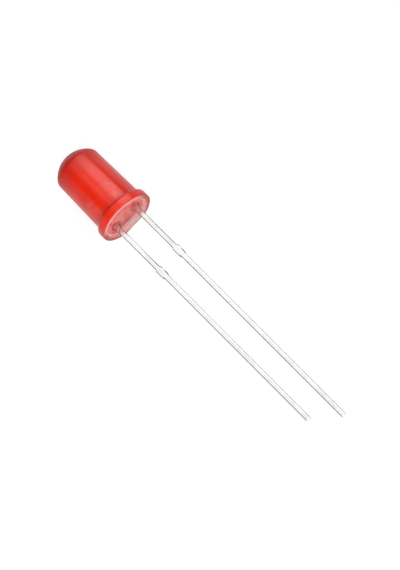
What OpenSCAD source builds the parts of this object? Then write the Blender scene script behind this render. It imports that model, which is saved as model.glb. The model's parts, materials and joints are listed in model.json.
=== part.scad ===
// Through-hole LED with a round 5 mm body of red diffused epoxy and two square leads.
// Every piece is drawn about the lens axis: the rim of the base lies at z = 0, the dome points
// to +Z, the leads run towards -Z and the flat of the flange faces -X. laid_down() then lays the
// whole LED on that flat and on the tip of its longer lead, the way it comes to rest on a table.

/* [Lens] */
// Diameter of the barrel where it meets the flange
barrel_d = 5.0; // [4.8:0.05:5.2]
// Draft of the barrel wall, in degrees
barrel_draft = 1.3; // [0.8:0.1:1.8]
// Height from the rim of the base to the top of the dome
lens_h = 8.4; // [8.0:0.1:9.2]
// How much larger the dome's radius is than the barrel's
dome_over = 0.25; // [0.1:0.05:0.6]
// Radius that blends the dome into the barrel
shoulder_r = 0.7; // [0.4:0.1:1.0]

/* [Flange] */
// How far the flange stands out from the barrel
flange_out = 0.35; // [0.3:0.05:0.5]
// Height of the flange above the rim
flange_h = 0.9; // [0.8:0.05:1.2]
// Rounding of the edge of the flange that faces the dome
flange_edge_r = 0.2; // [0.1:0.05:0.2]
// How far the flat of the flange stands out from the barrel
flat_step = 0.05; // [0.03:0.01:0.1]
// Width of the rim between the outer wall and the dish in the base
rim_w = 0.44; // [0.3:0.01:0.55]
// Depth of the dish that the resin leaves in the base
dish_depth = 0.22; // [0.15:0.01:0.35]

/* [Leads] */
// Distance between the centres of the leads
lead_pitch = 2.54; // [2.44:0.02:2.64]
// Side of the square section of a lead
lead_w = 0.5; // [0.4:0.02:0.6]
// Length of the anode lead below the rim
anode_len = 28.9; // [20:0.1:32]
// Length of the cathode lead below the rim
cathode_len = 26.7; // [18:0.1:30]
// Distance from the rim to the anode's stand-off
anode_standoff_at = 5.45; // [2:0.05:8]
// Distance from the rim to the cathode's stand-off
cathode_standoff_at = 5.75; // [2:0.05:8]
// Length of a stand-off
standoff_len = 1.15; // [0.8:0.05:1.6]
// How far a stand-off stands out on each side of its lead
standoff_out = 0.1; // [0.05:0.01:0.2]
// Length of the slope at each end of a stand-off
standoff_slope = 0.06; // [0.04:0.01:0.3]

/* [Lead frame inside the lens] */
// Height above the rim at which the leads widen
frame_at = 1.25; // [0.8:0.05:1.6]
// Height of the wide part of the leads
frame_h = 1.7; // [1.2:0.05:2.2]
// Height of the cup's rim above the wide part of the frame
cup_rise = 1.0; // [0.9:0.05:1.3]
// Depth of the reflector cup
cup_depth = 0.4; // [0.3:0.02:0.45]
// Slope of the cup's wall from the lens axis, in degrees
cup_slope = 25; // [15:1:35]
// Thickness of the cup's rim
cup_rim = 0.09; // [0.05:0.01:0.15]
// Thickness of the metal under the cup's floor
cup_base = 0.15; // [0.1:0.01:0.2]
// How far the anvil reaches up into the cup's head
anvil_seat = 0.25; // [0.15:0.01:0.3]
// Width of the anvil's neck under the cup's head
neck_w = 0.7; // [0.5:0.02:0.8]
// Gap between the cup's head and the anode post
frame_gap = 0.3; // [0.2:0.02:0.4]
// Height of the anode post above the wide part of the frame
post_rise = 0.95; // [0.8:0.05:1.2]
// Width of the top of the anode post
post_w = 0.42; // [0.3:0.02:0.5]

/* [Chip and wire] */
// Side of the square chip
chip_w = 0.3; // [0.2:0.02:0.36]
// Height of the chip
chip_h = 0.2; // [0.1:0.01:0.25]
// Thickness of the silver epoxy under the chip
attach_h = 0.03; // [0.02:0.005:0.05]
// How far the silver epoxy reaches past the chip's corners
attach_margin = 0.02; // [0.01:0.005:0.04]
// Width of bare cup floor around the silver epoxy
cup_margin = 0.04; // [0.02:0.01:0.08]
// Diameter of the bond wire
wire_d = 0.03; // [0.02:0.002:0.04]
// Rise of the bond wire's loop above its ends
wire_rise = 0.45; // [0.3:0.02:0.6]
// Diameter of the ball that bonds the wire to the chip
ball_d = 0.08; // [0.06:0.005:0.1]
// Height of that ball
ball_h = 0.03; // [0.02:0.005:0.04]

/* [Hidden] */
$fn = 96;
wire_sides = 8;
wire_steps = 24;
// How far a cutting shape reaches past the face that it cuts
cut_over = 1;

// Lens: the flange, the flat, the dish and the circle that blends the dome into the barrel
flange_d = barrel_d + 2 * flange_out;
flat_at = barrel_d / 2 + flat_step;
dish_mouth_r = flange_d / 2 - rim_w;
dish_floor_r = dish_mouth_r - dish_depth;
dish_flat_at = flat_at - rim_w;
dome_r = barrel_d / 2 + dome_over;
dome_z = lens_h - dome_r;
barrel_foot = [barrel_d / 2, flange_h];
barrel_up = [-sin(barrel_draft), cos(barrel_draft)];
barrel_in = [-cos(barrel_draft), -sin(barrel_draft)];
blend_from_dome = barrel_foot + shoulder_r * barrel_in - [0, dome_z];
blend_half = blend_from_dome * barrel_up;
blend_reach = pow(dome_r - shoulder_r, 2) - blend_from_dome * blend_from_dome;
blend_rise = sqrt(blend_half * blend_half + blend_reach) - blend_half;
blend_centre = barrel_foot + shoulder_r * barrel_in + blend_rise * barrel_up;
blend_end = atan2(blend_centre[1] - dome_z, blend_centre[0]);

// Leads, seen flat on: the sides of each lead and of the frame it widens into
lead_in = lead_pitch / 2 - lead_w / 2;
lead_out = lead_pitch / 2 + lead_w / 2;
frame_top = frame_at + frame_h;

// Reflector cup, sized by the chip that it holds
attach_r = chip_w / sqrt(2) + attach_margin;
cup_floor_r = attach_r + cup_margin;
cup_mouth_r = cup_floor_r + cup_depth * tan(cup_slope);
head_r = cup_mouth_r + cup_rim;
cup_top = frame_top + cup_rise;
cup_floor = cup_top - cup_depth;
anvil_top = cup_floor - cup_base;
head_foot = anvil_top - anvil_seat;
post_in = head_r + frame_gap;
post_top = frame_top + post_rise;
chip_foot = cup_floor + attach_h;
chip_top = chip_foot + chip_h;

// Bond wire: from the ball on the chip to the middle of the post's top
wire_foot = chip_top + ball_h;
wire_end = post_in + post_w / 2;

// Lying on the flat and on the longer lead's tip, with the middle of its length at x = 0
lead_reach = max(anode_len, cathode_len);
lie_tilt = atan((flat_at - lead_w / 2) / lead_reach);
dome_end = -dome_z * cos(lie_tilt) - dome_r;
tip_end = lead_reach * cos(lie_tilt) + lead_w / 2 * sin(lie_tilt);

module laid_down() {
    translate([-(dome_end + tip_end) / 2, 0, flat_at * cos(lie_tilt)])
        rotate([0, lie_tilt - 90, 0])
            children();
}

// Half outline of the flange, with its edge rounded on the side of the dome
module flange_half() {
    edge = [flange_d / 2 - flange_edge_r, flange_h - flange_edge_r];
    square([flange_d / 2, edge[1]]);
    square([edge[0], flange_h]);
    translate(edge)
        circle(flange_edge_r);
}

// Half outline of the barrel, and of the circle that blends it into the dome
module barrel_half() {
    polygon([
        [0, 0],
        [barrel_d / 2, 0],
        barrel_foot,
        barrel_foot + blend_rise * barrel_up,
        blend_centre,
        [0, dome_z]
    ]);
    translate(blend_centre)
        circle(shoulder_r);
}

// Half outline of the dome: the part of its circle above the blend
module dome_half() {
    past_dome = 2 * dome_r;
    intersection() {
        translate([0, dome_z])
            circle(dome_r);
        polygon([
            [0, dome_z],
            [0, dome_z] + past_dome * [cos(blend_end), sin(blend_end)],
            [past_dome, dome_z + past_dome],
            [0, dome_z + past_dome]
        ]);
    }
}

// The flange is cut back to a flat on one side, almost flush with the barrel
module flat_cut() {
    translate([-flat_at - flange_d, -flange_d, -cut_over])
        cube([flange_d, 2 * flange_d, flange_h + cut_over]);
}

// Dish that the resin leaves in the base, with a round foot and a straight bank along the flat
module base_dish() {
    intersection() {
        rotate_extrude() {
            translate([0, -cut_over])
                square([dish_mouth_r, cut_over]);
            square([dish_floor_r, dish_depth]);
            translate([dish_floor_r, 0])
                circle(dish_depth);
        }
        rotate([90, 0, 0])
            linear_extrude(2 * flange_d, center = true)
                polygon([
                    [-dish_flat_at - cut_over, -cut_over],
                    [flange_d, -cut_over],
                    [flange_d, dish_depth + cut_over],
                    [-dish_flat_at + dish_depth + cut_over, dish_depth + cut_over]
                ]);
    }
}

// A flat stamping as thick as the leads, drawn as across and up
module stamping(outline) {
    rotate([90, 0, 90])
        linear_extrude(lead_w, center = true)
            polygon(outline);
}

// One side of a stand-off that starts at a distance from the rim, listed from its foot up: s is 1
// for the side of the lead away from the axis
function standoff_side(at, side, s) = [
    [side, -at - standoff_len],
    [side + s * standoff_out, -at - standoff_len + standoff_slope],
    [side + s * standoff_out, -at - standoff_slope],
    [side, -at]
];

function mirrored(points) = [for (p = points) [-p[0], p[1]]];
function reversed(points) = [for (i = [len(points) - 1 : -1 : 0]) points[i]];

// Outline below the frame: up the outer side of a lead from its tip, and down its inner side
function outer_side(length, at) = concat([[lead_out, -length]], standoff_side(at, lead_out, 1));
function inner_side(length, at) = concat(reversed(standoff_side(at, lead_in, -1)), [[lead_in, -length]]);

module cathode_shape() {
    anvil = [
        [lead_out, frame_top],
        [neck_w / 2, anvil_top],
        [-neck_w / 2, anvil_top],
        [-neck_w / 2, frame_top],
        [lead_in, frame_at]
    ];
    difference() {
        union() {
            stamping(mirrored(concat(
                outer_side(cathode_len, cathode_standoff_at),
                anvil,
                inner_side(cathode_len, cathode_standoff_at)
            )));
            translate([0, 0, head_foot])
                cylinder(r = head_r, h = cup_top - head_foot);
        }
        translate([0, 0, cup_floor])
            cylinder(r1 = cup_floor_r, r2 = cup_mouth_r, h = cup_depth);
    }
}

module anode_shape() {
    post = [
        [lead_out, frame_top],
        [post_in + post_w, post_top],
        [post_in, post_top],
        [post_in, frame_at],
        [lead_in, frame_at - abs(lead_in - post_in)]
    ];
    stamping(concat(
        outer_side(anode_len, anode_standoff_at),
        post,
        inner_side(anode_len, anode_standoff_at)
    ));
}

module attach_shape() {
    translate([0, 0, cup_floor])
        cylinder(r = attach_r, h = attach_h);
}

module chip_shape() {
    translate([-chip_w / 2, -chip_w / 2, chip_foot])
        cube([chip_w, chip_w, chip_h]);
}

// The wire leaves the ball upright, arches over the cup's rim and comes down upright on the post
function wire_at(t) = [
    wire_end * (1 - cos(180 * t)) / 2,
    wire_foot + (post_top - wire_foot) * t + wire_rise * sin(180 * t)
];
function wire_heading(t) = [
    wire_end * PI * sin(180 * t) / 2,
    post_top - wire_foot + wire_rise * PI * cos(180 * t)
];
function wire_ring(centre, heading, r) =
    let (across = [heading[1], -heading[0]] / norm(heading))
    [for (j = [0 : wire_sides - 1])
        let (a = 360 * j / wire_sides, side = centre + r * sin(a) * across)
        [r * cos(a), side[0], side[1]]];

module wire_shape() {
    ball_rings = [for (z = [chip_top, wire_foot]) wire_ring([0, z], [0, 1], ball_d / 2)];
    loop_rings = [for (i = [0 : wire_steps])
        let (t = i / wire_steps) wire_ring(wire_at(t), wire_heading(t), wire_d / 2)];
    rings = concat(ball_rings, loop_rings);
    points = [for (ring = rings, p = ring) p];
    last = (len(rings) - 1) * wire_sides;
    sides = [for (i = [0 : len(rings) - 2], j = [0 : wire_sides - 1])
        let (a = i * wire_sides + j, b = i * wire_sides + (j + 1) % wire_sides)
        each [[a, b, b + wire_sides], [a, b + wire_sides, a + wire_sides]]];
    foot = [for (j = [wire_sides - 1 : -1 : 0]) j];
    end = [for (j = [0 : wire_sides - 1]) last + j];
    polyhedron(points, concat(sides, [foot, end]));
}

// The resin is cast around the frame, the chip and the wire, and fills the cup
module lens() {
    color([0.86, 0.11, 0.07, 0.75])
        laid_down()
            difference() {
                rotate_extrude() {
                    flange_half();
                    barrel_half();
                    dome_half();
                }
                flat_cut();
                base_dish();
                cathode_shape();
                anode_shape();
                attach_shape();
                chip_shape();
                wire_shape();
            }
}

module cathode_lead() {
    color([0.80, 0.81, 0.82])
        laid_down()
            cathode_shape();
}

module anode_lead() {
    color([0.82, 0.83, 0.84])
        laid_down()
            anode_shape();
}

module die_attach() {
    color([0.70, 0.70, 0.68])
        laid_down()
            attach_shape();
}

module led_chip() {
    color([0.78, 0.62, 0.30])
        laid_down()
            chip_shape();
}

module bond_wire() {
    color([0.90, 0.72, 0.28])
        laid_down()
            wire_shape();
}

lens();
cathode_lead();
anode_lead();
die_attach();
led_chip();
bond_wire();
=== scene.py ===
import json
import math
import bmesh
import bpy
from mathutils import Matrix, Vector


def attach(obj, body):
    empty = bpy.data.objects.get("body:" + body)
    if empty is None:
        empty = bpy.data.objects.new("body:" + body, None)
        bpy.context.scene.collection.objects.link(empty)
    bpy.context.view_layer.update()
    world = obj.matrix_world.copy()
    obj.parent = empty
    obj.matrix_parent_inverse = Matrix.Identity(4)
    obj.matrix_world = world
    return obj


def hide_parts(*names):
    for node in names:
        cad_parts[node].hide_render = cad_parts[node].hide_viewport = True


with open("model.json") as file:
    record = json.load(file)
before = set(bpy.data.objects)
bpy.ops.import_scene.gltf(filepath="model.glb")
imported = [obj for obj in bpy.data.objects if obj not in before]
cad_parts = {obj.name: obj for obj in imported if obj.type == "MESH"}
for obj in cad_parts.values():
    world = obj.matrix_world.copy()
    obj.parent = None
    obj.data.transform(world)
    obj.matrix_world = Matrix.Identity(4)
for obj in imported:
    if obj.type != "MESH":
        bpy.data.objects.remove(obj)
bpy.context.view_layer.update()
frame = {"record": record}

# Cathode lead: the shorter lead, stamped from steel strip with the anvil and the reflector cup on
# its inner end, then tinned; its sides are painted a darker steel grey, partly as sheared steel and
# partly as painted shade along its edges. The lens is cast around the anvil.
# It sets the LED's own frame too: face, away from the flat, across to the anode, and up to the dome.
mm = 0.001
rim_mount = next(m for m in frame["record"]["mounts"] if m["name"] == "base_rim")
up_axis = -Vector(rim_mount["axis"])
across_axis = Vector((0, 1, 0))
face_axis = across_axis.cross(up_axis)
rim_centre = Vector((rim_mount["pos_m"][0], 0, rim_mount["pos_m"][2]))
lie = Matrix((face_axis, across_axis, up_axis)).transposed().to_4x4()
lie.translation = rim_centre

lead_w = 0.5 * mm
lead_pitch = 2.54 * mm
lead_in = lead_pitch / 2 - lead_w / 2
lead_out = lead_pitch / 2 + lead_w / 2
lead_edge_r = 0.09 * mm
cathode_len = 26.7 * mm
cathode_standoff_at = 5.75 * mm
standoff_len = 1.15 * mm
standoff_out = 0.1 * mm
standoff_slope = 0.06 * mm
frame_at = 1.25 * mm
frame_top = 2.95 * mm
neck_w = 0.7 * mm
cup_top = 3.95 * mm
cup_floor = 3.55 * mm
cup_floor_r = 0.272 * mm
cup_mouth_r = 0.459 * mm
cup_steps = 64
head_r = 0.549 * mm
head_foot = 3.15 * mm
anvil_top = 3.40 * mm
weld_dist = 1e-8
tin_colours = ((0.88, 0.88, 0.87), (0.94, 0.94, 0.93))
tin_roughness = (0.21, 0.26)
side_steel_and_shade_colour = (0.22, 0.22, 0.23)
# How squarely a face looks across, from where it counts as plated to where it counts as a dark side.
dark_side_turn = (0.3, 0.75)
streaks_per_mm = (9, 9, 0.7)
dull_spots_per_mm = 1.4
scratch_depth = 0.004 * mm
scratch_strength = 0.025
noise_range = (0.3, 0.7)
rising = (0, 1)


def standoff_side(at, side, s):
    """One side of a stand-off that starts at a distance from the rim, from its foot up."""
    foot = -at - standoff_len
    return [
        (side, foot),
        (side + s * standoff_out, foot + standoff_slope),
        (side + s * standoff_out, -at - standoff_slope),
        (side, -at),
    ]


def lead_outline(length, at, head):
    """Outline of a lead as across and up: the outer side, the part in the lens, the inner side."""
    outer = [(lead_out, -length)] + standoff_side(at, lead_out, 1)
    inner = standoff_side(at, lead_in, -1)[::-1] + [(lead_in, -length)]
    return outer + head + inner


def stamped(outline):
    """A bmesh of a stamping as thick as a lead, with the edges of its two faces rounded."""
    bm = bmesh.new()
    corners = [bm.verts.new((-lead_w / 2, y, z)) for y, z in outline]
    blank = bm.faces.new(corners)
    grown = bmesh.ops.extrude_face_region(bm, geom=[blank])
    moved = [v for v in grown["geom"] if isinstance(v, bmesh.types.BMVert)]
    bmesh.ops.translate(bm, verts=moved, vec=(lead_w, 0, 0))
    bmesh.ops.recalc_face_normals(bm, faces=bm.faces)
    round_edges = [e for e in bm.edges if e.verts[0].co.x == e.verts[1].co.x]
    bmesh.ops.bevel(bm, geom=round_edges, offset=lead_edge_r, affect="EDGES",
                    segments=4, profile=0.5, material=-1)
    return bm


def finished(name, bm, material, smooth_deg=35):
    """Lays a bmesh drawn about the lens axis where the LED lies, as a named piece."""
    bm.transform(lie)
    mesh = bpy.data.meshes.new(name)
    bm.to_mesh(mesh)
    bm.free()
    piece = bpy.data.objects.new(name, mesh)
    bpy.context.scene.collection.objects.link(piece)
    mesh.materials.append(material)
    mesh.polygons.foreach_set("use_smooth", [True] * len(mesh.polygons))
    mesh.set_sharp_from_angle(angle=math.radians(smooth_deg))
    return piece


def spun(bm, profile, steps):
    """Turns a half outline, as radius and height, about the lens axis into a closed skin."""
    line = [bm.verts.new((r, 0, z)) for r, z in profile]
    edges = [bm.edges.new(pair) for pair in zip(line, line[1:])]
    bmesh.ops.spin(bm, geom=line + edges, cent=(0, 0, 0), axis=(0, 0, 1),
                   angle=2 * math.pi, steps=steps, use_merge=True)
    bmesh.ops.remove_doubles(bm, verts=bm.verts[:], dist=weld_dist)
    bmesh.ops.recalc_face_normals(bm, faces=bm.faces)


def evened(piece, fused=None):
    """Fuses another body to the piece, and keeps its flat faces flat up to their rounded edges."""
    if fused:
        union = piece.modifiers.new("union", "BOOLEAN")
        union.operation = "UNION"
        union.solver = "EXACT"
        union.object = fused
    weighted = piece.modifiers.new("weighted", "WEIGHTED_NORMAL")
    weighted.weight = 100
    weighted.keep_sharp = True
    depsgraph = bpy.context.evaluated_depsgraph_get()
    mesh = bpy.data.meshes.new_from_object(piece.evaluated_get(depsgraph))
    piece.modifiers.clear()
    piece.data = mesh
    if fused:
        bpy.data.objects.remove(fused)


def own_frame():
    """A node group that puts out the place on the LED in its own frame, in millimetres."""
    group = bpy.data.node_groups.new("led_frame", "ShaderNodeTree")
    group.interface.new_socket("Place", in_out="OUTPUT", socket_type="NodeSocketVector")
    coords = group.nodes.new("ShaderNodeTexCoord")
    back = group.nodes.new("ShaderNodeMapping")
    undo = lie.inverted()
    back.inputs["Location"].default_value = undo.translation / mm
    back.inputs["Rotation"].default_value = undo.to_euler()
    back.inputs["Scale"].default_value = (1 / mm, 1 / mm, 1 / mm)
    ends = group.nodes.new("NodeGroupOutput")
    group.links.new(coords.outputs["Object"], back.inputs["Vector"])
    group.links.new(back.outputs["Vector"], ends.inputs["Place"])
    return group


def new_material(name):
    """A material with its node tree, its shader and the place on the LED."""
    material = bpy.data.materials.new(name)
    material.use_nodes = True
    tree = material.node_tree
    place = tree.nodes.new("ShaderNodeGroup")
    place.node_tree = led_frame
    return material, tree, tree.nodes["Principled BSDF"], place.outputs["Place"]


def worked(tree, operation, first, second=None):
    """One step of arithmetic on sockets or numbers."""
    step = tree.nodes.new("ShaderNodeMath")
    step.operation = operation
    for socket, value in zip(step.inputs, (first, second)):
        if isinstance(value, bpy.types.NodeSocket):
            tree.links.new(value, socket)
        elif value is not None:
            socket.default_value = value
    return step.outputs["Value"]


def vector_worked(tree, operation, vector, by):
    """One step of arithmetic on a vector's socket and a fixed vector."""
    step = tree.nodes.new("ShaderNodeVectorMath")
    step.operation = operation
    tree.links.new(vector, step.inputs[0])
    step.inputs[1].default_value = by
    return step.outputs


def between(tree, value, limits, results):
    """The value's course between two limits, drawn as a smooth step from one result to the other."""
    step = tree.nodes.new("ShaderNodeMapRange")
    step.interpolation_type = "SMOOTHSTEP"
    tree.links.new(value, step.inputs["Value"])
    step.inputs["From Min"].default_value, step.inputs["From Max"].default_value = limits
    step.inputs["To Min"].default_value, step.inputs["To Max"].default_value = results
    return step.outputs["Result"]


def noise(tree, vector, per_mm, detail):
    """Noise of so many waves to the millimetre."""
    grain = tree.nodes.new("ShaderNodeTexNoise")
    grain.inputs["Scale"].default_value = per_mm
    grain.inputs["Detail"].default_value = detail
    tree.links.new(vector, grain.inputs["Vector"])
    return grain.outputs["Fac"]


def blended(tree, factor, a, b):
    """A colour between a and b, each a colour or a socket."""
    mix = tree.nodes.new("ShaderNodeMix")
    mix.data_type = "RGBA"
    tree.links.new(factor, mix.inputs["Factor"])
    for socket, colour in zip((mix.inputs["A"], mix.inputs["B"]), (a, b)):
        if isinstance(colour, tuple):
            socket.default_value = (*colour, 1)
        else:
            tree.links.new(colour, socket)
    return mix.outputs["Result"]


def embossed(tree, shader, relief, strength, depth):
    """Shades the surface as if the relief stood out from it by the depth."""
    bump = tree.nodes.new("ShaderNodeBump")
    bump.inputs["Strength"].default_value = strength
    bump.inputs["Distance"].default_value = depth
    tree.links.new(relief, bump.inputs["Height"])
    tree.links.new(bump.outputs["Normal"], shader.inputs["Normal"])


led_frame = own_frame()
tin, tree, shader, place = new_material("bright_tin")
shader.inputs["Metallic"].default_value = 1
streaks = noise(tree, vector_worked(tree, "MULTIPLY", place, streaks_per_mm)["Vector"], 1, detail=3)
dull_spots = noise(tree, place, dull_spots_per_mm, detail=2)
tree.links.new(between(tree, dull_spots, noise_range, tin_roughness), shader.inputs["Roughness"])
# Painted shade: faces turned across get a dark steel grey, partly sheared steel, partly edge shade.
facing = tree.nodes.new("ShaderNodeTexCoord").outputs["Normal"]
turned_across = vector_worked(tree, "DOT_PRODUCT", facing, across_axis)["Value"]
sheared_and_shaded = between(tree, worked(tree, "ABSOLUTE", turned_across), dark_side_turn, rising)
plated = blended(tree, streaks, *tin_colours)
tree.links.new(blended(tree, sheared_and_shaded, plated, side_steel_and_shade_colour), shader.inputs["Base Color"])
embossed(tree, shader, streaks, scratch_strength, scratch_depth)

anvil = [
    (lead_out, frame_top),
    (neck_w / 2, anvil_top),
    (-neck_w / 2, anvil_top),
    (-neck_w / 2, frame_top),
    (lead_in, frame_at),
]
cathode_bm = stamped([(-y, z) for y, z in lead_outline(cathode_len, cathode_standoff_at, anvil)])
cathode_lead = finished("tinned_cathode_lead", cathode_bm, tin)
head_bm = bmesh.new()
spun(head_bm, [
    (0, head_foot), (head_r, head_foot), (head_r, cup_top), (cup_mouth_r, cup_top),
    (cup_floor_r, cup_floor), (0, cup_floor),
], cup_steps)
evened(cathode_lead, finished("cup_head", head_bm, tin))
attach(cathode_lead, "root")
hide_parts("cathode_lead")

# Anode lead: the longer lead, stamped and tinned with the other one. Its inner end is the post
# that takes the bond wire, and the lens is cast around that.
anode_len = 28.9 * mm
anode_standoff_at = 5.45 * mm
post_gap = 0.3 * mm
post_in = head_r + post_gap
post_w = 0.42 * mm
post_top = 3.9 * mm
post = [
    (lead_out, frame_top),
    (post_in + post_w, post_top),
    (post_in, post_top),
    (post_in, frame_at),
    (lead_in, frame_at - (lead_in - post_in)),
]
anode_bm = stamped(lead_outline(anode_len, anode_standoff_at, post))
anode_lead = finished("tinned_anode_lead", anode_bm, tin)
evened(anode_lead)
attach(anode_lead, "root")
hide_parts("anode_lead")

# Die attach: a drop of epoxy filled with silver flakes, dotted on the floor of the cup. The chip
# presses it flat, so that it stands out round the chip with a rounded edge, and it sets grey.
attach_r = 0.232 * mm
attach_h = 0.03 * mm
attach_steps = 48
# The rounded edge, as shares of the drop's radius and height.
attach_edge = ((1, 0), (0.97, 0.55), (0.9, 0.9), (0.8, 1))
flakes_per_mm = 90
flake_colours = ((0.72, 0.72, 0.70), (0.40, 0.40, 0.38))
attach_bm = bmesh.new()
attach_side = [(attach_r * wide, cup_floor + attach_h * high) for wide, high in attach_edge]
spun(attach_bm, [(0, cup_floor), *attach_side, (0, cup_floor + attach_h)], attach_steps)
silver, tree, shader, place = new_material("silver_epoxy")
shader.inputs["Metallic"].default_value = 0.7
shader.inputs["Roughness"].default_value = 0.55
flakes = tree.nodes.new("ShaderNodeTexVoronoi")
flakes.inputs["Scale"].default_value = flakes_per_mm
tree.links.new(place, flakes.inputs["Vector"])
flake_tone = blended(tree, flakes.outputs["Distance"], *flake_colours)
tree.links.new(flake_tone, shader.inputs["Base Color"])
die_attach = finished("silver_die_attach", attach_bm, silver)
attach(die_attach, "root")
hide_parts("die_attach")

# Chip: a square of light-emitting crystal, sawn from a wafer and glued into the cup by the die
# attach. A round gold pad, evaporated on its top, takes the ball of the bond wire.
chip_w = 0.3 * mm
chip_h = 0.2 * mm
chip_edge = 0.008 * mm
chip_foot = cup_floor + attach_h
chip_top = chip_foot + chip_h
pad_r = 0.055 * mm
# Where the pad's colour fades out, in millimetres from the axis, and sets in, in height.
pad_border = (pad_r / mm, pad_r / mm + 0.0027)
pad_depth = (chip_top / mm - 0.003, chip_top / mm - 0.001)
saw_marks_per_mm = 30
crystal_colours = ((0.34, 0.22, 0.10), (0.52, 0.36, 0.18))
pad_colour = (0.95, 0.70, 0.30)
fading = (1, 0)


def split(tree, vector):
    """A vector's three parts; those of a place are face, across and height."""
    parts = tree.nodes.new("ShaderNodeSeparateXYZ")
    tree.links.new(vector, parts.inputs["Vector"])
    return parts.outputs


def span(tree, a, b):
    """The straight length over two legs that stand square to each other."""
    squares = [worked(tree, "POWER", leg, 2) for leg in (a, b)]
    return worked(tree, "SQRT", worked(tree, "ADD", *squares))


def product(tree, first, *others):
    """Sockets and numbers multiplied with each other."""
    for other in others:
        first = worked(tree, "MULTIPLY", first, other)
    return first


chip_bm = bmesh.new()
bmesh.ops.create_cube(chip_bm, size=1, matrix=Matrix.Translation((0, 0, chip_foot + chip_h / 2))
                      @ Matrix.Diagonal((chip_w, chip_w, chip_h, 1)))
bmesh.ops.bevel(chip_bm, geom=chip_bm.edges[:], offset=chip_edge, affect="EDGES",
                segments=2, profile=0.5, material=-1)
crystal, tree, shader, place = new_material("sawn_crystal")
shader.inputs["Roughness"].default_value = 0.3
face, across, height = split(tree, place)
inside_pad = between(tree, span(tree, face, across), pad_border, fading)
pad = product(tree, inside_pad, between(tree, height, pad_depth, rising))
sawn = blended(tree, noise(tree, place, saw_marks_per_mm, detail=2), *crystal_colours)
tree.links.new(blended(tree, pad, sawn, pad_colour), shader.inputs["Base Color"])
tree.links.new(pad, shader.inputs["Metallic"])
chip = finished("sawn_led_chip", chip_bm, crystal)
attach(chip, "root")
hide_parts("led_chip")

# Bond wire: drawn gold, melted to a ball that is welded to the chip's pad, looped over the rim of
# the cup and pressed flat on the top of the anode post.
wire_r = 0.015 * mm
wire_rise = 0.45 * mm
ball_r = 0.04 * mm
ball_h = 0.03 * mm
# The ball's side, as shares of its height and radius.
ball_side = ((0, 0.75), (0.2, 0.95), (0.5, 1), (0.8, 0.9), (0.98, 0.6))
wire_foot = chip_top + ball_h
wire_end = post_in + post_w / 2
wire_steps = 40
wire_sides = 12
draw_marks_per_mm = 40
gold_colours = ((0.86, 0.58, 0.20), (0.98, 0.74, 0.33))
rings = [((0, chip_top + ball_h * high), (0, 1), ball_r * wide) for high, wide in ball_side]
for i in range(wire_steps + 1):
    t = i / wire_steps
    swing = math.pi * t
    centre = (wire_end * (1 - math.cos(swing)) / 2,
              wire_foot + (post_top - wire_foot) * t + wire_rise * math.sin(swing))
    heading = (wire_end * math.pi * math.sin(swing) / 2,
               post_top - wire_foot + wire_rise * math.pi * math.cos(swing))
    rings.append((centre, heading, wire_r))
wire_bm = bmesh.new()
loops = []
for centre, heading, r in rings:
    square_on = Vector((0, *heading)).to_track_quat("Z", "X").to_matrix().to_4x4()
    ring = bmesh.ops.create_circle(wire_bm, segments=wire_sides, radius=r,
                                   matrix=Matrix.Translation((0, *centre)) @ square_on)
    loops.append(list({e for v in ring["verts"] for e in v.link_edges}))
for low, high in zip(loops, loops[1:]):
    bmesh.ops.bridge_loops(wire_bm, edges=low + high)
bmesh.ops.holes_fill(wire_bm, edges=loops[0] + loops[-1])
bmesh.ops.recalc_face_normals(wire_bm, faces=wire_bm.faces)
gold, tree, shader, place = new_material("drawn_gold")
shader.inputs["Metallic"].default_value = 1
shader.inputs["Roughness"].default_value = 0.25
drawn = blended(tree, noise(tree, place, draw_marks_per_mm, detail=2), *gold_colours)
tree.links.new(drawn, shader.inputs["Base Color"])
bond_wire = finished("gold_bond_wire", wire_bm, gold)
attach(bond_wire, "root")
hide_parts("bond_wire")

# Lens: red epoxy with a milky filler, cast dome down in a polished cup around the lead frame.
# The resin creeps up the mould and the leads as it sets, which leaves a dish with a rim in the base.
# Its colour carries painted light: it is painted paler where the lead frame lies behind it, and
# painted shade makes it a deeper red at the tip, the rim and the roots. A painted reflection makes the
# dish floor pinker, and painted highlights pale its bank, its flat and the edge of its rim.
barrel_r = 2.5 * mm
barrel_draft = math.radians(1.3)
lens_h = 8.4 * mm
dome_r = 2.75 * mm
shoulder_r = 0.7 * mm
flange_r = 2.85 * mm
flange_h = 0.9 * mm
flange_edge_r = 0.2 * mm
foot_fillet_r = 0.08 * mm
rim_edge_r = 0.06 * mm
rim_w = 0.44 * mm
flat_at = 2.55 * mm
dish_depth = 0.22 * mm
root_reach = 0.28 * mm
root_rise = 0.34 * mm
lens_steps = 192
floor_rings = 40
barrel_rings = 24

resin_colours = ((0.89, 0.020, 0.002), (0.94, 0.030, 0.003))
# Painted light: a paler red where the lit lead frame would show through the resin.
painted_frame_light_colour = (0.97, 0.085, 0.06)
# Painted shade: a deeper red at the tip of the dome.
shaded_tip_colour = (0.70, 0.012, 0.001)
# Painted reflection: the dish floor is pinker for the white surroundings it mirrors.
dish_reflection_colours = ((0.78, 0.045, 0.036), (0.88, 0.17, 0.145))
# Painted highlight: pale pink on the dish's bank and along the flat.
painted_pale_light_colour = (0.95, 0.52, 0.49)
# Painted shade: a deeper red on the rim, strongest towards the flat.
shaded_rim_colour = (0.52, 0.012, 0.002)
rim_face_shares = (1, 0.15)
lit_rim_colour = (0.94, 0.42, 0.39)
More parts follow.
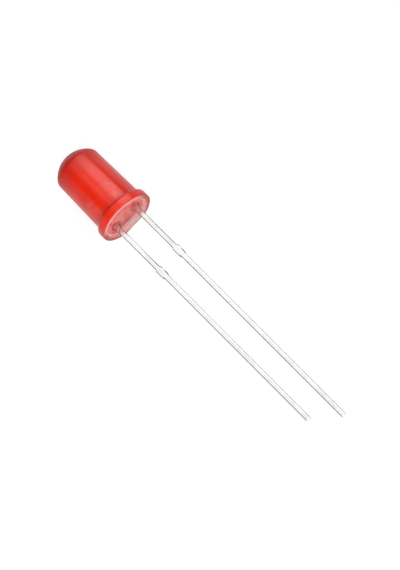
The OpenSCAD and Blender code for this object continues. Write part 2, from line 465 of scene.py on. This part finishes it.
# Painted shade: a deeper red round the roots of the leads.
shaded_root_colour = (0.43, 0.003, 0.001)
moulded_roughness = (0.285, 0.335)
tip_roughening = 0.12
dish_gloss = 0.16
scatter_reach = (1.0, 0.15, 0.08)
scatter_scale = 0.5 * mm
clear_share = 0.24
resin_ior = 1.52
wave_depth = 0.02 * mm
wave_strength = 0.12
clouds_per_mm = 0.9
dish_reflection_clouds_per_mm = 1.3
dish_reflection_range = (0.35, 0.65)
patches_per_mm = 2.4
patch_range = (0.38, 0.62)
patch_shares = (0.25, 1)
waves_per_mm = 2.2

# Soft borders of these colours, in millimetres: heights above the rim, distances past the edge of
# the dish or from the middle of a lead, places towards the face, and places aside from the middle
# of the lead frame, whose painted light shows through.
base_border = (0.25, 0.35)
dish_border = (-0.12, 0.02)
bank_inner_border = (-0.30, -0.14)
bank_outer_border = (-0.02, 0.05)
flat_border = (-1.1, -0.4)
root_border = (0.42, 0.70)
rim_border = (0.0, 0.12)
rim_face_border = (0.5, 2.0)
lit_rim_inner_border = (-0.02, 0.08)
lit_rim_outer_border = (0.20, 0.40)
lit_rim_face_border = (0.3, 1.6)
frame_middle = -0.3
frame_inner_border = (0.5, 1.0)
frame_outer_border = (1.5, 2.1)
frame_foot_border = (1.0, 1.6)
frame_head_border = (2.8, 3.5)
tip_border = (4.6, 7.4)


def arc(centre, r, start, end, steps):
    """Points of an arc, as radius and height, between two angles in degrees."""
    angles = [math.radians(start + (end - start) * i / steps) for i in range(steps + 1)]
    return [(centre[0] + r * math.cos(a), centre[1] + r * math.sin(a)) for a in angles]


# The shoulder's arc leaves the drafted wall and joins the dome without a kink, so its centre lies
# shoulder_r inside the wall and dome_r - shoulder_r from the centre of the dome.
dome_z = lens_h - dome_r
foot = Vector((barrel_r, flange_h))
wall_up = Vector((-math.sin(barrel_draft), math.cos(barrel_draft)))
wall_in = Vector((-math.cos(barrel_draft), -math.sin(barrel_draft)))
offset = foot + shoulder_r * wall_in - Vector((0, dome_z))
half = offset.dot(wall_up)
wall_len = math.sqrt(half * half + (dome_r - shoulder_r) ** 2 - offset.length_squared) - half
shoulder = foot + shoulder_r * wall_in + wall_len * wall_up
shoulder_end = math.degrees(math.atan2(shoulder.y - dome_z, shoulder.x))
wall_top = foot + wall_len * wall_up
fillet_top = foot + foot_fillet_r * wall_up
mouth_r = flange_r - rim_w
floor_r = mouth_r - dish_depth
profile = [(floor_r * i / floor_rings, dish_depth) for i in range(floor_rings)]
profile += arc((floor_r, 0), dish_depth, 90, 0, steps=12)
profile += arc((flange_r - rim_edge_r, rim_edge_r), rim_edge_r, -90, 0, steps=4)
profile += arc((flange_r - flange_edge_r, flange_h - flange_edge_r), flange_edge_r, 0, 90, steps=8)
profile += arc((barrel_r + foot_fillet_r, flange_h + foot_fillet_r), foot_fillet_r, -90, -180, steps=4)
profile += [tuple(fillet_top.lerp(wall_top, i / barrel_rings)) for i in range(1, barrel_rings)]
profile += arc(shoulder, shoulder_r, math.degrees(barrel_draft), shoulder_end, steps=10)
profile += arc((0, dome_z), dome_r, shoulder_end, 90, steps=28)[1:]
profile[-1] = (0, lens_h)
lens_bm = bmesh.new()
spun(lens_bm, profile, lens_steps)

# The flat is pressed into the flange, and the floor of the dish is drawn out along the leads.
for v in lens_bm.verts:
    r = math.hypot(v.co.x, v.co.y)
    below_flange_top = v.co.z < flange_h + foot_fillet_r / 2
    flat_here = flat_at - (flange_r - r)
    if v.co.z > flange_h / 2:
        flat_here = max(flat_here, barrel_r + foot_fillet_r)
    if below_flange_top and r > floor_r / 2 and v.co.x < -flat_here:
        v.co.x = -flat_here
    if abs(v.co.z - dish_depth) < weld_dist:
        reach = max(abs(abs(v.co.y) - lead_pitch / 2), abs(v.co.x)) - lead_w / 2
        if reach < root_reach:
            lift = 1 - max(reach, 0) / root_reach
            v.co.z -= root_rise * lift * lift

epoxy, tree, shader, place = new_material("milky_red_epoxy")
face, across, height = split(tree, place)
past_round = worked(tree, "SUBTRACT", span(tree, face, across), mouth_r / mm)
past_flat = worked(tree, "SUBTRACT", product(tree, face, -1), (flat_at - rim_w) / mm)
past_mouth = worked(tree, "MAXIMUM", past_round, past_flat)
at_base = between(tree, height, base_border, fading)
# Painted reflection on the dish floor; the same mask makes the floor glossier.
in_dish = product(tree, between(tree, past_mouth, dish_border, fading), at_base)
# Painted highlight on the bank of the dish and on the flat.
painted_bank_light = product(tree, between(tree, past_mouth, bank_inner_border, rising),
                  between(tree, past_mouth, bank_outer_border, fading), at_base)
painted_flat_light = product(tree, between(tree, past_flat, flat_border, rising), at_base)
# Painted shade on the rim.
painted_rim_shade = product(tree, between(tree, past_round, rim_border, rising), at_base,
                 between(tree, face, rim_face_border, rim_face_shares))
lit_rim = product(tree, between(tree, past_round, lit_rim_inner_border, rising), at_base,
                  between(tree, past_round, lit_rim_outer_border, fading),
                  between(tree, face, lit_rim_face_border, rising))
off_lead = worked(tree, "SUBTRACT", worked(tree, "ABSOLUTE", across), lead_pitch / 2 / mm)
# Painted shade round the roots of the leads; the same mask keeps them from the dish's gloss.
at_root = product(tree, between(tree, span(tree, off_lead, face), root_border, fading), at_base)
aside = worked(tree, "ABSOLUTE", worked(tree, "SUBTRACT", across, frame_middle))
patches = between(tree, noise(tree, place, patches_per_mm, detail=3), patch_range, patch_shares)
# Painted light: the lit lead frame showing through, painted into the resin's colour in patches.
painted_frame_light = product(tree, between(tree, aside, frame_inner_border, rising),
                     between(tree, aside, frame_outer_border, fading),
                     between(tree, height, frame_foot_border, rising),
                     between(tree, height, frame_head_border, fading), patches)
at_tip = between(tree, height, tip_border, rising)
clouds = noise(tree, place, clouds_per_mm, detail=3)
dish_reflection_clouds = between(tree, noise(tree, place, dish_reflection_clouds_per_mm, detail=3), dish_reflection_range, rising)
colour = blended(tree, clouds, *resin_colours)
# The masks below paint light and shade into the resin's colour, over the clouds of its own tone.
for mask, tint in (
    (painted_frame_light, painted_frame_light_colour),
    (at_tip, shaded_tip_colour),
    (in_dish, blended(tree, dish_reflection_clouds, *dish_reflection_colours)),
    (worked(tree, "MAXIMUM", painted_bank_light, painted_flat_light), painted_pale_light_colour),
    (painted_rim_shade, shaded_rim_colour),
    (lit_rim, lit_rim_colour),
    (at_root, shaded_root_colour),
):
    colour = blended(tree, mask, colour, tint)
tree.links.new(colour, shader.inputs["Base Color"])
moulded = worked(tree, "ADD", between(tree, clouds, noise_range, moulded_roughness),
                 product(tree, at_tip, tip_roughening))
glossier = product(tree, worked(tree, "SUBTRACT", in_dish, at_root), dish_gloss)
tree.links.new(worked(tree, "SUBTRACT", moulded, glossier), shader.inputs["Roughness"])
shader.inputs["IOR"].default_value = resin_ior
shader.inputs["Subsurface Weight"].default_value = 1.0
shader.inputs["Subsurface Radius"].default_value = scatter_reach
shader.inputs["Subsurface Scale"].default_value = scatter_scale
shader.inputs["Transmission Weight"].default_value = clear_share
embossed(tree, shader, noise(tree, place, waves_per_mm, detail=2), wave_strength, wave_depth)
lens = finished("red_epoxy_lens", lens_bm, epoxy, smooth_deg=40)
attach(lens, "root")
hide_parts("lens")

# Floor: a plain white sheet that the LED lies on, and that takes its shadow. It glows for the camera
# and, a little less, for what the metal and the resin mirror or let through, and lights nothing by it.
floor_half = 0.4
paper_colour = (0.35, 0.35, 0.35)
seen_level = 0.76
mirrored_level = 0.58
floor_bm = bmesh.new()
bmesh.ops.create_grid(floor_bm, x_segments=1, y_segments=1, size=floor_half)
floor_mesh = bpy.data.meshes.new("floor")
floor_bm.to_mesh(floor_mesh)
floor_bm.free()
floor = bpy.data.objects.new("floor", floor_mesh)
bpy.context.scene.collection.objects.link(floor)
paper = bpy.data.materials.new("white_paper")
paper.use_nodes = True
tree = paper.node_tree
tree.nodes.remove(tree.nodes["Principled BSDF"])
diffuse = tree.nodes.new("ShaderNodeBsdfDiffuse")
diffuse.inputs["Color"].default_value = (*paper_colour, 1)
rays = tree.nodes.new("ShaderNodeLightPath").outputs
mirrored = worked(tree, "MAXIMUM", rays["Is Glossy Ray"], rays["Is Transmission Ray"])
level = worked(tree, "MAXIMUM", product(tree, rays["Is Camera Ray"], seen_level),
               product(tree, mirrored, mirrored_level))
glow = tree.nodes.new("ShaderNodeEmission")
tree.links.new(level, glow.inputs["Strength"])
both = tree.nodes.new("ShaderNodeAddShader")
tree.links.new(diffuse.outputs["BSDF"], both.inputs[0])
tree.links.new(glow.outputs["Emission"], both.inputs[1])
tree.links.new(both.outputs["Shader"], tree.nodes["Material Output"].inputs["Surface"])
floor_mesh.materials.append(paper)

# Light: four soft boxes that face the lens. One stands beyond the dome on the anode side, a small one
# overhead, the largest over the lead tips, and a weak one low on the cathode side. Dim walls fill in.
box_distance = 0.6
wall_level = 0.08
ceiling_level = 0.06
ceiling_from = 0.2


def soft_box(name, over_deg, lean_deg, width, length, radiance):
    """A lamp that faces the lens: over is to the anode side of upright, lean towards the tips."""
    over, lean = math.radians(over_deg), math.radians(lean_deg)
    outward = face_axis * math.cos(over) + across_axis * math.sin(over)
    sideways = across_axis * math.cos(over) - face_axis * math.sin(over)
    towards = outward * math.cos(lean) - up_axis * math.sin(lean)
    lamp = bpy.data.lights.new(name, "AREA")
    lamp.shape = "RECTANGLE"
    lamp.size = length
    lamp.size_y = width
    lamp.energy = radiance * math.pi * width * length
    turned = Matrix((sideways.cross(towards), sideways, towards)).transposed()
    holder = bpy.data.objects.new(name, lamp)
    holder.matrix_world = Matrix.Translation(rim_centre + towards * box_distance) @ turned.to_4x4()
    bpy.context.scene.collection.objects.link(holder)


soft_box("back_box", over_deg=47, lean_deg=-24, width=0.5, length=0.24, radiance=3.3)
soft_box("top_box", over_deg=0, lean_deg=-23, width=0.22, length=0.40, radiance=1.12)
soft_box("front_box", over_deg=-6, lean_deg=46, width=1.1, length=0.45, radiance=4.25)
soft_box("side_box", over_deg=-77, lean_deg=-15, width=0.45, length=0.6, radiance=0.6)
world = bpy.data.worlds.new("studio")
bpy.context.scene.world = world
world.use_nodes = True
tree = world.node_tree
outlook = tree.nodes.new("ShaderNodeTexCoord").outputs["Generated"]
walls = tree.nodes.new("ShaderNodeValToRGB")
wall_stops = ((0, wall_level), (ceiling_from, ceiling_level))
for stop, (position, grey) in zip(walls.color_ramp.elements, wall_stops):
    stop.position = position
    stop.color = (grey, grey, grey, 1)
tree.links.new(split(tree, outlook)["Z"], walls.inputs["Fac"])
tree.links.new(walls.outputs["Color"], tree.nodes["Background"].inputs["Color"])

# Camera: a long lens that looks down on the LED from the side of its lead tips, turned so that
# the leads run from the upper left to the lower right of the picture.
image_size = (400, 570)
rim_pixel = (127.0, 217.9)
pixels_per_mm = 10.82
axis_out = math.radians(21.5)
turn = math.radians(4)
camera_distance = 0.65
nearest_seen = 0.01
sensor = 36.0
to_camera = (-up_axis * math.sin(axis_out) + face_axis * math.cos(axis_out) * math.cos(turn)
             + across_axis * math.cos(axis_out) * math.sin(turn)).normalized()
tips_dir = (-up_axis - to_camera * (-up_axis).dot(to_camera)).normalized()
side_dir = to_camera.cross(tips_dir)
picture_right = (tips_dir + side_dir).normalized()
picture_up = (side_dir - tips_dir).normalized()
shift_right = (image_size[0] / 2 - rim_pixel[0]) / pixels_per_mm * mm
shift_down = (image_size[1] / 2 - rim_pixel[1]) / pixels_per_mm * mm
aim = rim_centre + picture_right * shift_right - picture_up * shift_down
camera_data = bpy.data.cameras.new("camera")
camera_data.sensor_width = sensor
camera_data.lens = sensor * camera_distance / (image_size[1] / pixels_per_mm * mm)
camera_data.clip_start = nearest_seen
camera = bpy.data.objects.new("camera", camera_data)
camera.matrix_world = Matrix.Translation(aim + to_camera * camera_distance) @ Matrix(
    (picture_right, picture_up, to_camera)).transposed().to_4x4()
bpy.context.scene.collection.objects.link(camera)
bpy.context.scene.camera = camera
bpy.context.scene.view_settings.view_transform = "Standard"
